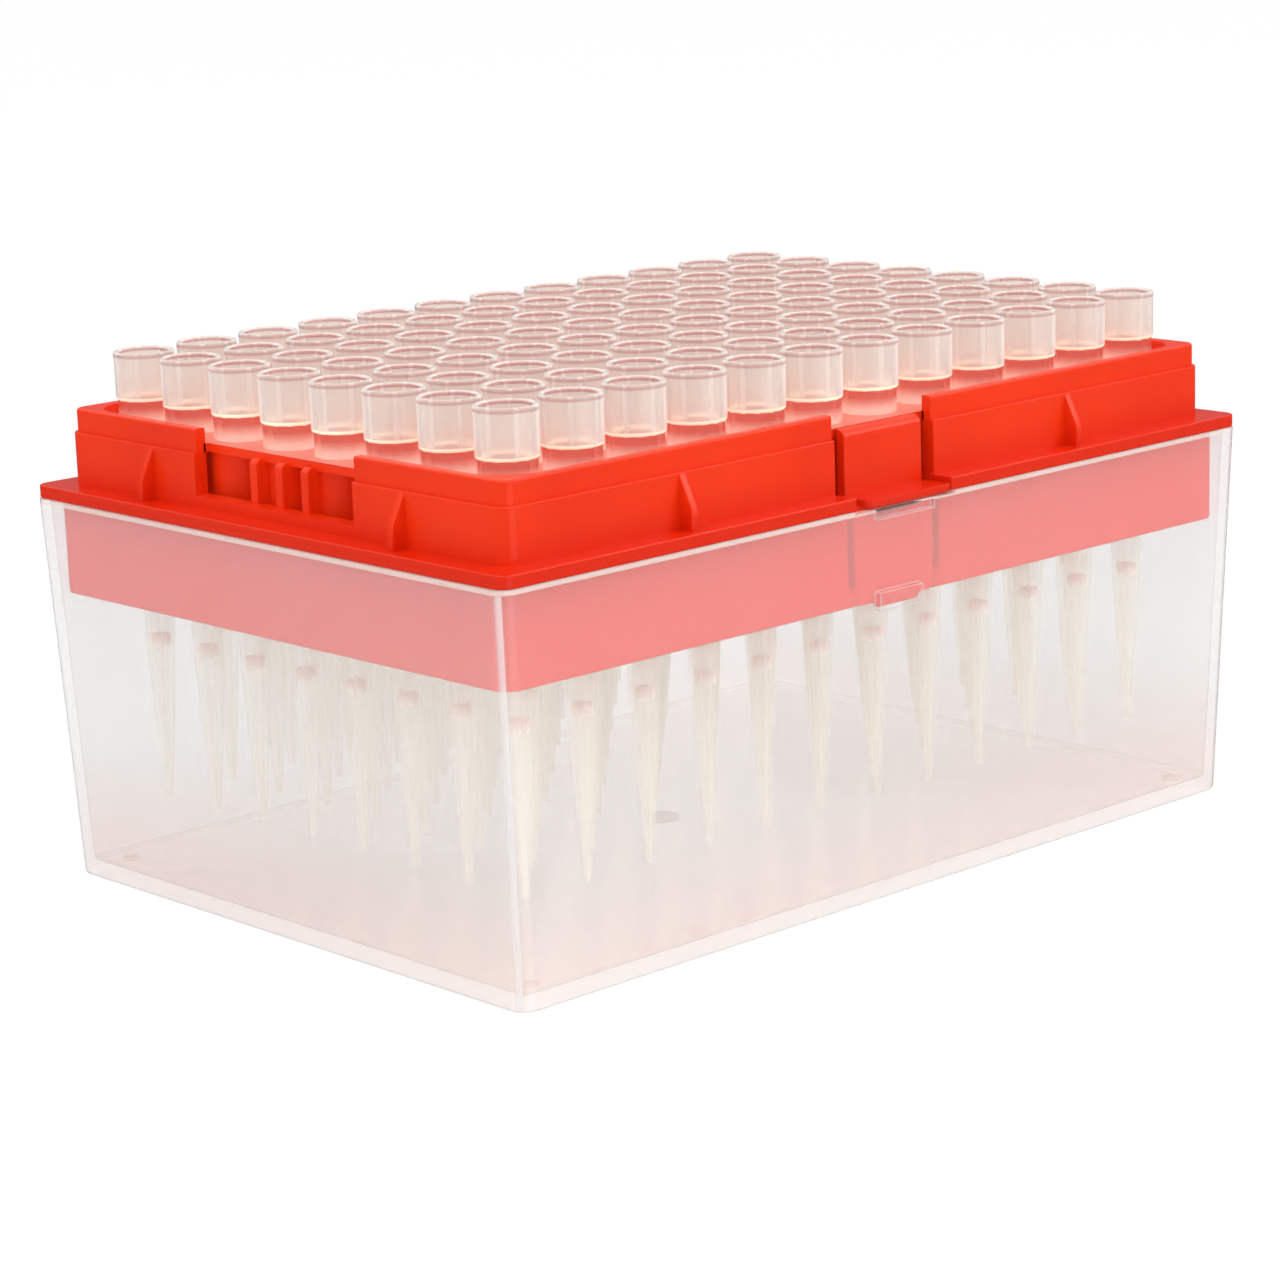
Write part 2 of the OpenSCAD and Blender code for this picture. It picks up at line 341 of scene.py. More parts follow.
class Term:
    """A node's output that can stand in a Python expression: each sum or product adds its Math node."""

    def __init__(self, tree: "ShaderTree", output: bpy.types.NodeSocket) -> None:
        """Wraps one output socket of a node in a tree."""
        self.tree = tree
        self.output = output

    def _math(self, operation: str, *values: object) -> "Term":
        """Adds a Math node on up to three values, and returns its result."""
        return self.tree.add("ShaderNodeMath", {"operation": operation}, dict(enumerate(values)))

    def __add__(self, other: object) -> "Term":
        """Sum."""
        return self._math("ADD", self, other)

    __radd__ = __add__

    def __mul__(self, other: object) -> "Term":
        """Product."""
        return self._math("MULTIPLY", self, other)

    __rmul__ = __mul__

    def __sub__(self, other: object) -> "Term":
        """Difference."""
        return self._math("SUBTRACT", self, other)

    def __rsub__(self, other: object) -> "Term":
        """Difference from a number."""
        return self._math("SUBTRACT", other, self)

    def __truediv__(self, other: object) -> "Term":
        """Quotient."""
        return self._math("DIVIDE", self, other)

    def absolute(self) -> "Term":
        """The size without the sign."""
        return self._math("ABSOLUTE", self)

    def heading(self, other: object) -> "Term":
        """The angle whose sine and cosine go with this value and the other, in degrees."""
        return self._math("ARCTAN2", self, other) * math.degrees(1)

    def sine(self) -> "Term":
        """The sine of this angle in radians."""
        return self._math("SINE", self)

    def most(self, other: object) -> "Term":
        """The larger of two values."""
        return self._math("MAXIMUM", self, other)

    def ramp(self, low: float, high: float, to_low: float = 0.0, to_high: float = 1.0) -> "Term":
        """Eases from one value to another while this one goes from low to high.

        Args:
            low: Where the change begins.
            high: Where it ends.
            to_low: The result up to low.
            to_high: The result from high on.

        Returns:
            The eased value.
        """
        return self.tree.add(
            "ShaderNodeMapRange",
            {"interpolation_type": "SMOOTHSTEP"},
            {"Value": self, "From Min": low, "From Max": high, "To Min": to_low, "To Max": to_high},
        )

    def fall(self, low: float, high: float) -> "Term":
        """1 up to low, eased to 0 at high."""
        return self.ramp(low, high, 1.0, 0.0)

    def band(self, rise: tuple[float, float], fall: tuple[float, float]) -> "Term":
        """1 between two stretches: the value eases up over the first and down over the second."""
        return self.ramp(*rise) * self.fall(*fall)


class ShaderTree:
    """A material or a world under construction."""

    def __init__(self, owner: bpy.types.Material | bpy.types.World) -> None:
        """Empties the node tree of a material or a world, to build it anew."""
        self.owner = owner
        owner.use_nodes = True
        self.nodes = owner.node_tree.nodes
        self.links = owner.node_tree.links
        self.nodes.clear()

    @classmethod
    def of_material(cls, name: str) -> "ShaderTree":
        """Starts an empty material of that name."""
        return cls(bpy.data.materials.new(name))

    def add(
        self, kind: str, settings: dict | None = None, inputs: dict | None = None, output: object = 0
    ) -> Term | None:
        """Adds any node.

        Args:
            kind: The node's type.
            settings: The node's own settings; stops are a colour ramp's.
            inputs: The value or link of each socket, by name or place.
            output: The name or place of the socket that is wanted.

        Returns:
            That output, or nothing where a node has none.
        """
        node = self.nodes.new(kind)
        for name, value in (settings or {}).items():
            if name == "stops":
                self._set_stops(node.color_ramp, value)
            else:
                setattr(node, name, value)
        for name, value in (inputs or {}).items():
            socket = node.inputs[name]
            if isinstance(value, Term):
                self.links.new(value.output, socket)
            else:
                socket.default_value = value
        return Term(self, node.outputs[output]) if node.outputs else None

    @staticmethod
    def _set_stops(ramp: bpy.types.ColorRamp, stops: list[tuple[float, tuple]]) -> None:
        """Gives a colour ramp its stops, as places and colours."""
        while len(ramp.elements) < len(stops):
            ramp.elements.new(1.0)
        for element, (place, colour) in zip(ramp.elements, stops):
            element.position = place
            element.color = colour

    def split(self, vector: Term) -> list[Term]:
        """The X, Y and Z of a vector."""
        node = self.add("ShaderNodeSeparateXYZ", inputs={0: vector}).output.node
        return [Term(self, output) for output in node.outputs]

    def axes(self, kind: str) -> list[Term]:
        """One kind of texture coordinates, as X, Y and Z."""
        return self.split(self.add("ShaderNodeTexCoord", output=kind))

    def place(self) -> list[Term]:
        """The object coordinates in millimetres, as X, Y and Z."""
        return [axis / MM for axis in self.axes("Object")]

    def ray(self, kind: str) -> Term:
        """1 where the light path is of that kind, else 0."""
        return self.add("ShaderNodeLightPath", output=f"Is {kind} Ray")

    def mirrored(self) -> Term:
        """1 for a ray that comes from a reflection, else 0."""
        return self.ray("Glossy") * (1.0 - self.ray("Transmission"))

    def noise(self, scale: float, detail: float = 2.0, roughness: float = 0.5) -> Term:
        """Noise over the object coordinates.

        Args:
            scale: Features per metre.
            detail: How many finer layers it has.
            roughness: How strong they are.

        Returns:
            A value about 0.5.
        """
        spot = self.add("ShaderNodeTexCoord", output="Object")
        return self.add(
            "ShaderNodeTexNoise",
            inputs={"Vector": spot, "Scale": scale, "Detail": detail, "Roughness": roughness},
        )

    def blend(self, factor: object, first: object, second: object) -> Term:
        """Mixes two colours; the factor is the share of the second."""
        return self.add("ShaderNodeMix", {"data_type": "RGBA"}, {0: factor, 6: first, 7: second}, output=2)

    def mix(self, factor: object, first: Term, second: Term) -> Term:
        """Mixes two surfaces; the factor is the share of the second."""
        return self.add("ShaderNodeMixShader", inputs={0: factor, 1: first, 2: second})

    def principled(self, inputs: dict) -> Term:
        """A Principled surface with the given inputs."""
        return self.add("ShaderNodeBsdfPrincipled", inputs=inputs)

    def bump(self, height: Term, strength: float, distance: float) -> Term:
        """A normal from a height of about 0 to 1, where 1 stands for a distance in metres."""
        return self.add("ShaderNodeBump", inputs={"Height": height, "Strength": strength, "Distance": distance})

    def close(self, surface: Term) -> bpy.types.Material | bpy.types.World:
        """Links the surface to the output, and returns the finished material or world."""
        kind = "World" if isinstance(self.owner, bpy.types.World) else "Material"
        self.add(f"ShaderNodeOutput{kind}", inputs={"Surface": surface})
        return self.owner


Colour = tuple[float, float, float, float]


def tone(*screen: int) -> Colour:
    """The colour that a shader takes for red, green and blue screen values from 0 to 255."""
    shares = [value / 255 for value in screen]
    return *(share / 12.92 if share <= 0.04045 else ((share + 0.055) / 1.055) ** 2.4 for share in shares), 1.0


# ---------------------------------------------------------------- finishes


@dataclass(frozen=True)
class RedPlastic:
    """Glossy red moulded plastic, with faint drag marks and clouds in its colour, and painted shade, shadow and
    glow.
    """

    base: Colour = tone(249, 58, 16)
    deep: Colour = tone(241, 52, 13)
    # Painted shade: the darker red low on the wall's outside, just above the flange.
    foot: Colour = tone(224, 38, 9)
    # Painted light: the skirt under the tub's veil is a brighter red.
    skirt: Colour = tone(255, 56, 22)
    # Painted shadow of the tips, on the deck's top between them.
    inside: Colour = tone(228, 124, 108)
    roughness: float = 0.24

    def material(self, inside: tuple[float, float], deck_z: float, rim_z: float) -> bpy.types.Material:
        """Builds the material.

        Args:
            inside: Half the length and half the width inside the rack's wall, in millimetres.
            deck_z: The height of the deck's top, which carries the tips' painted shadow, in millimetres.
            rim_z: The height of the tub's rim; the skirt below it is painted brighter and given a painted glow.

        Returns:
            The material.
        """
        tree = ShaderTree.of_material("red_moulded_plastic")
        x, y, z = tree.place()
        past_inside = (x.absolute() - inside[0]).most(y.absolute() - inside[1])
        inner = past_inside.fall(-0.05, 0.0)
        # Painted shadow of the tips on the deck's top inside the wall.
        deck = inner * z.band((deck_z - 0.04, deck_z - 0.01), (deck_z + 0.01, deck_z + 0.04))
        # Painted glow in the shaded space inside the wall, under the deck.
        cavity_glow = inner * z.band((rim_z + 1.4, rim_z + 1.5), (deck_z - 0.2, deck_z - 0.1))
        # Painted shade: darker low on the wall's outside, easing off upwards from the flange.
        foot = z.ramp(rim_z + 1.2, rim_z + 5.5, 0.8, 0.0) * past_inside.ramp(1.0, 2.5)
        # Painted light on the skirt below the tub's rim.
        skirt = z.fall(rim_z - 0.1, rim_z)
        colour = tree.blend(tree.noise(38, 3).ramp(0.35, 0.7), self.base, self.deep)
        for share, tint in ((foot, self.foot), (deck, self.inside), (skirt, self.skirt)):
            colour = tree.blend(share, colour, tint)
        grain, drag = tree.noise(900, 2), tree.noise(60, 4)
        surface = tree.principled(
            {
                "Base Color": colour,
                "Roughness": drag * 0.10 + (self.roughness - 0.05),
                "IOR": 1.49,
                "Specular IOR Level": 0.3,
                # Painted glow: the skirt and the cavity under the deck give off a little red light.
                "Emission Color": tree.blend(cavity_glow + skirt, (0, 0, 0, 1), self.base),
                "Emission Strength": 0.07,
                "Normal": tree.bump(grain * 0.2 + drag * 0.8, 0.06, 0.00006),
            }
        )
        return tree.close(surface)


@dataclass(frozen=True)
class ClearPlastic:
    """Natural polypropylene of a tub: hazy and glossy, with painted highlights along its corners and rim, and
    painted red light low down.
    """

    # Haze colours by height; the pink low down is painted red light from the rack.
    low_haze_and_red_light: Colour = tone(250, 222, 216)
    middle_haze: Colour = tone(242, 240, 236)
    high_haze: Colour = tone(242, 243, 242)
    # The floor's haze, painted pink for the rack's red light.
    floor_haze_and_red_light: Colour = tone(250, 224, 212)
    foot: Colour = tone(255, 246, 238)
    # Painted highlight along the upright corners.
    band: Colour = tone(255, 252, 252)
    # Painted highlight along the rim.
    rim: Colour = tone(255, 236, 226)
    veil: tuple[float, float] = (0.145, 0.19)
    floor_veil: float = 0.14
    foot_veil: float = 0.4
    corner_highlight_veil: float = 0.65
    rim_highlight_veil: float = 0.75
    roughness: float = 0.16
    gloss_roughness: float = 0.07

    def material(
        self, half: tuple[float, float], draft: tuple[float, float], rim_z: float
    ) -> bpy.types.Material:
        """Builds the material.

        Args:
            half: Half the tub's length and half its width at the floor, in millimetres.
            draft: How far they grow up to the rim.
            rim_z: The rim's height, in millimetres.

        Returns:
            The material.
        """
        tree = ShaderTree.of_material("clear_moulded_plastic")
        x, y, z = tree.place()
        past_x = x.absolute() - (z * (draft[0] / rim_z) + half[0])
        past_y = y.absolute() - (z * (draft[1] / rim_z) + half[1])
        past, round_corner = past_x.most(past_y), past_x - past_y
        clouds = tree.noise(26, 3)
        # Painted highlight: a pale stripe along each upright corner.
        band = round_corner.band((-0.1, 0.15), (0.4, 2.0)) * past.ramp(-0.9, -0.7)
        # The floor, whose haze is painted pink for the rack's red light.
        floor = z.fall(1.8, 1.9)
        foot = past.band((-2.0, -1.7), (-1.1, -0.9)) * z.band((1.3, 1.5), (1.9, 2.4))
        # Painted highlight: a pale band in the top of the wall, under the rack's flange.
        rim = z.ramp(rim_z - 0.65, rim_z - 0.5)
        veil = (clouds - 0.5) * 0.03 + round_corner.ramp(-1.0, 1.0, *self.veil) + z.ramp(4.0, 20.0, 0.05, 0.0)
        # The haze's colour by height, painted pinker low down for the rack's red light.
        colour = tree.add(
            "ShaderNodeValToRGB",
            {"stops": [(0.04, self.low_haze_and_red_light), (0.35, self.middle_haze), (0.8, self.high_haze)]},
            {0: z / rim_z},
        )
        for share, strength, tint in (
            (floor, self.floor_veil, self.floor_haze_and_red_light),
            (foot, self.foot_veil, self.foot),
            (band, self.corner_highlight_veil, self.band),
            (rim, self.rim_highlight_veil, self.rim),
        ):
            veil = veil.most(share * strength)
            colour = tree.blend(share, colour, tint)
        surface = tree.principled(
            {
                "Base Color": colour,
                "Roughness": clouds * 0.08 + (self.roughness - 0.04),
                "IOR": 1.49,
                "Alpha": veil,
                "Normal": tree.bump(tree.noise(55, 2), 0.05, 0.0002),
            }
        )
        gloss = tree.add("ShaderNodeBsdfGlossy", inputs={"Color": WHITE, "Roughness": self.gloss_roughness})
        outer = 1.0 - tree.add("ShaderNodeNewGeometry", output="Backfacing")
        mirror = tree.add("ShaderNodeFresnel", inputs={"IOR": 1.42}) * outer * 0.8
        return tree.close(tree.mix(mirror, surface, gloss))

    def edge_highlight_material(self) -> bpy.types.Material:
        """Builds the material of the small rounded edges: a painted highlight."""
        tree = ShaderTree.of_material("clear_edge_painted_highlight")
        colour = tree.blend(tree.noise(60, 1), (1, 0.9, 0.88, 1), (0.95, 0.8, 0.78, 1))
        return tree.close(tree.principled({"Base Color": colour, "Roughness": 0.3, "Alpha": 0.5}))


@dataclass(frozen=True)
class TipPlastic:
    """Natural polypropylene of the tips: polished, a little milky, with fine flutes round it; shade on the lip,
    a highlight on the shelf, red on the neck and a glow are painted.
    """

    glass: Colour = tone(246, 235, 228)
    # Painted shade: the dark line round the lip.
    lip: Colour = tone(208, 160, 156)
    # Painted highlight along the shelf under the collar.
    shelf: Colour = tone(255, 244, 218)
    milk: Colour = tone(255, 250, 237)
    # Painted red light and shade from the rack, on the neck above the deck.
    neck_top_red_shade: Colour = tone(190, 84, 72)
    neck_foot_red_light: Colour = tone(228, 180, 166)
    # Painted glow below the collar.
    body_glow: Colour = (0.29, 0.27, 0.225, 1.0)
    haze: tuple[float, float] = (0.25, 0.9)
    shelf_highlight_veil: float = 0.95
    neck_veil: float = 0.6
    seat_veil: float = 0.8
    veil: float = 0.2
    edge_veil: float = 0.85

    def _round(self, tree: ShaderTree) -> list[Term]:
        """The turn about the tip's axis, from 0 to 1, and the distance from it in millimetres."""
        turn, radius, _ = tree.split(tree.add("ShaderNodeUVMap", {"uv_map": TIP_UV}))
        return [turn, radius * 10]

    def _waves(self, turn: Term, count: int) -> Term:
        """Upright waves round the tip, from -1 to 1."""
        return (turn * (2 * math.pi * count)).sine()

    def _flutes(self, tree: ShaderTree, turn: Term) -> Term:
        """A normal with soft upright waves."""
        return tree.bump(self._waves(turn, 12) * 0.5 + 0.5, 0.15, 0.00005)

    def collar_material(self, top_z: float) -> bpy.types.Material:
        """Builds the material of the polished collar, which bends the light, with painted shade along its lip
        and a painted glow.

        Args:
            top_z: The height of the tips' rims, in millimetres.

        Returns:
            The material.
        """
        tree = ShaderTree.of_material("tip_collar_plastic")
        z = tree.place()[2]
        turn, radius = self._round(tree)
        # Painted shade along the mouth's inner edge, and fainter round the outer lip.
        inner_lip = z.ramp(top_z - 0.5, top_z - 0.42) * radius.fall(2.84, 2.9)
        outer_lip = z.band((top_z - 0.7, top_z - 0.45), (top_z - 0.4, top_z - 0.15))
        outer_lip = outer_lip * radius.ramp(3.3, 3.35) * 0.8
        colour = tree.blend(inner_lip + outer_lip, self.glass, self.lip)
        shared = {"Base Color": colour, "IOR": 1.45, "Normal": self._flutes(tree, turn)}
        # Painted glow in the collar's own colour.
        glow = {"Emission Color": colour, "Emission Strength": 0.07}
        glass = tree.principled({**shared, "Roughness": 0.13, "Transmission Weight": 0.8})
        milk = tree.principled({**shared, **glow, "Roughness": 0.2})
        facing = tree.add("ShaderNodeLayerWeight", inputs={"Blend": 0.5}, output="Facing")
        streaks = self._waves(turn, 7).ramp(0.7, 1.0, 0.0, 0.25)
        return tree.close(tree.mix(facing.ramp(0.3, 0.8, *self.haze) + streaks, glass, milk))

    def body_material(self, deck_z: float, shelf_z: float) -> bpy.types.Material:
        """Builds the material of the thin part below the collar: a plain milky veil, with a painted highlight
        along the shelf, painted red on the neck and a painted glow.

        Args:
            deck_z: The height of the deck, in millimetres.
            shelf_z: The height of the collars' undersides.

        Returns:
            The material.
        """
        tree = ShaderTree.of_material("tip_body_plastic")
        z = tree.place()[2]
        facing = tree.add("ShaderNodeLayerWeight", inputs={"Blend": 0.35}, output="Facing")
        turn = self._round(tree)[0]
        streaks = self._waves(turn, 6).ramp(0.2, 1.0, 0.0, 0.1)
        above_deck = z.ramp(deck_z - 0.1, deck_z)
        # Painted highlight: a bright ring at the shelf.
        shelf = z.ramp(shelf_z - 0.02, shelf_z + 0.02)
        body = facing.ramp(0.55, 0.92, self.veil, self.edge_veil) + streaks
        body = body.most(z.ramp(deck_z - 4, deck_z - 3) * self.seat_veil)
        veil = (above_deck * self.neck_veil + body * (1.0 - above_deck)).most(shelf * self.shelf_highlight_veil)
        # Painted on the neck: the rack's red, darker up towards the collar.
        neck = tree.blend(z.ramp(deck_z + 0.3, shelf_z - 0.7), self.neck_foot_red_light, self.neck_top_red_shade)
        # The glow is painted: emission in the body's colour, with the shelf's highlight and the neck's red.
        colour, glow = (
            tree.blend(shelf * self.shelf_highlight_veil, tree.blend(above_deck, below, neck), self.shelf)
            for below in (self.milk, self.body_glow)
        )
        surface = tree.principled(
            {
                "Base Color": colour,
                "Roughness": 0.25,
                "IOR": 1.4,
                "Emission Color": glow,
                "Emission Strength": 0.4,
                "Alpha": veil,
                "Normal": self._flutes(tree, turn),
            }
        )
        return tree.close(surface)


@dataclass(frozen=True)
class FilterPlastic:
    """Sintered white plug with fine pores, with painted red shade towards its top and a painted glow."""

    white: Colour = tone(255, 244, 236)
    # Painted red shade on the plug's top.
    top: Colour = tone(240, 196, 188)

    def material(self, low_z: float, top_z: float) -> bpy.types.Material:
        """Builds the material.

        Args:
            low_z: The height of the plug's underside, in millimetres.
            top_z: The height of its top, which is painted darker and redder.

        Returns:
            The material.
        """
        tree = ShaderTree.of_material("porous_filter")
        pores = tree.noise(5200, 3, 0.7)
        # Painted shade: the colour darkens and reddens up towards the top.
        height = tree.place()[2].ramp(low_z, top_z) * 0.85 + pores.fall(0.35, 0.7) * 0.15
        colour = tree.blend(height, self.white, self.top)
        surface = tree.principled(
            {
                "Base Color": colour,
                # Painted glow in the plug's own colour.
                "Emission Color": colour,
                "Emission Strength": 0.25,
                "Roughness": pores * 0.2 + 0.7,
                "Normal": tree.bump(pores, 0.5, 0.0001),
            }
        )
        return tree.close(surface)


# ---------------------------------------------------------------- pieces


def dress(
    piece: bpy.types.Object, materials: list[bpy.types.Material], slot: Slot, body: str, stands_for: str
) -> None:
    """Gives a piece its materials, its body and its solid. Only the red pieces cast a shadow.

    Args:
        piece: The modelled object.
        materials: Its finishes, the main one first.
        slot: The record's slot of that finish.
        body: The body that it rides on.
        stands_for: The node whose solid it replaces.
    """
    piece.data.materials.clear()
    for material in materials:
        piece.data.materials.append(material)
    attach(piece, body)
    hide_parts(stands_for)
    piece.visible_shadow = slot is Slot.RACK
    log.info("%s: %d faces, for %s", piece.name, len(piece.data.polygons), stands_for)


@dataclass
class Tub:
    """The clear tub, with its drafted walls, hook windows, nail pockets and floor marks."""

    node: str = "tub"
    wall: float = 1.2 * MM
    floor: float = 1.5 * MM
    corner_r: float = 2.0 * MM
    foot_edge: float = 0.5 * MM
    draft: tuple[float, float] = (1.9 * MM, 1.4 * MM)
    edge_round: float = 0.12 * MM
    window: tuple[float, float] = (7.1 * MM, 2.2 * MM)
    window_middle_z: float = 34.4 * MM
    window_skin: float = 0.36 * MM
    pocket: tuple[float, float] = (9.4 * MM, 1.05 * MM)
    pocket_depth: float = 0.6 * MM
    pocket_drop: float = 1.4 * MM
    rim_dip: tuple[float, float] = (16.0 * MM, 0.3 * MM)
    mark: tuple[float, float] = (53.0 * MM, 35.5 * MM)
    mark_r: float = 1.0 * MM
    gate_r: float = 2.2 * MM
    mark_t: float = 0.4 * MM
    finish: ClearPlastic = field(default_factory=ClearPlastic)

    def __post_init__(self) -> None:
        """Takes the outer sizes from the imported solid."""
        low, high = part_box(self.node)
        self.rim_y = high.y - low.y
        self.rim_z = high.z
        self.foot = ((high.x - low.x) / 2 - self.draft[0], self.rim_y / 2 - self.draft[1])

    def build(self) -> None:
        """Models the tub and dresses it."""
        tub = self._drafted_block(0.0, 0.0, self.rim_z, "tub_moulding")
        inside = self._drafted_block(self.wall, self.floor, self.rim_z + MM, "cutter")
        cut_with(tub, [inside, *self._cutters()])
        tub = join([tub, *self._floor_marks()], "tub_moulding")
        clear = self.finish.material(
            half=tuple(size / MM for size in self.foot),
            draft=tuple(lean / MM for lean in self.draft),
            rim_z=self.rim_z / MM,
        )
        dress(tub, [clear, self.finish.edge_highlight_material()], Slot.TUB, BOX_BODY, self.node)
        # The bevels' faces take the second material, the painted edge highlight.
        apply_modifier(
            tub, "BEVEL", width=self.edge_round, segments=2, material=1, use_clamp_overlap=False,
            limit_method="ANGLE", angle_limit=math.radians(50),
        )
        smooth(tub)

    def _drafted_block(self, inset: float, low: float, high: float, name: str) -> bpy.types.Object:
        """Adds a block that widens upwards as the tub does, with round upright corners and soft lower edges.

        Args:
            inset: How far its walls stand in from the tub's outside.
            low: The height of its underside.
            high: The height of its top.
            name: The new object's name.

        Returns:
            The block.
        """
        half_low, half_high = (
            tuple(foot + lean * height / self.rim_z - inset for foot, lean in zip(self.foot, self.draft))
            for height in (low, high)
        )
        block = add_block((-half_low[0], -half_low[1], low), (*half_low, high), name)
        with Editing(block) as edit:
            edit.faces(lambda face: face.normal.z > 0.9)
            spread = (half_high[0] / half_low[0], half_high[1] / half_low[1], 1)
            bpy.ops.transform.resize(value=spread, center_override=(0, 0, high))
            edit.uprights((high - low) / 2)
            bevel(self.corner_r - inset, 10)
            edit.edges(lambda end: abs(end.z - low) < TOUCH)
            bevel(self.foot_edge, 3)
        return block

    def _floor_marks(self) -> list[bpy.types.Object]:
        """The flat discs of the mould on the floor: one near each corner, and the gate in the middle."""
        far_x, far_y = self.mark
        spots = [(x, y, self.mark_r) for x in (-far_x, far_x) for y in (-far_y, far_y)]
        marks = []
        for x, y, radius in [*spots, (0, 0, self.gate_r)]:
            deselect_all()
            bpy.ops.mesh.primitive_cylinder_add(
                vertices=24, radius=radius, depth=self.mark_t, location=(x, y, self.floor)
            )
            bpy.ops.object.transform_apply(location=True)
            marks.append(bpy.context.object)
        return marks

    def _cutters(self) -> list[bpy.types.Object]:
        """Adds the tools for the hook windows, the nail pockets and the lowered stretches of rim."""
        wall_y = self.foot[1] + self.draft[1] * self.window_middle_z / self.rim_z
        rim_y, above = self.rim_y / 2, self.rim_z + MM
        pocket_z = self.rim_z - self.pocket_drop
        half_window = self.window[1] / 2
        window_z = (self.window_middle_z - half_window, self.window_middle_z + half_window)
        boxes = [
            (self.window[0], (-wall_y + self.window_skin, -wall_y + self.wall + MM), window_z),
            (self.pocket[0], (-rim_y - MM, -rim_y + self.pocket_depth), (pocket_z, pocket_z + self.pocket[1])),
            (self.rim_dip[0], (-rim_y - MM, -rim_y + self.wall + MM), (self.rim_z - self.rim_dip[1], above)),
        ]
        tools = []
        for width, y, z in boxes:
            cutter = add_block((-width / 2, y[0], z[0]), (width / 2, y[1], z[1]), "cutter")
            tools.extend(on_both_sides(cutter))
        return tools


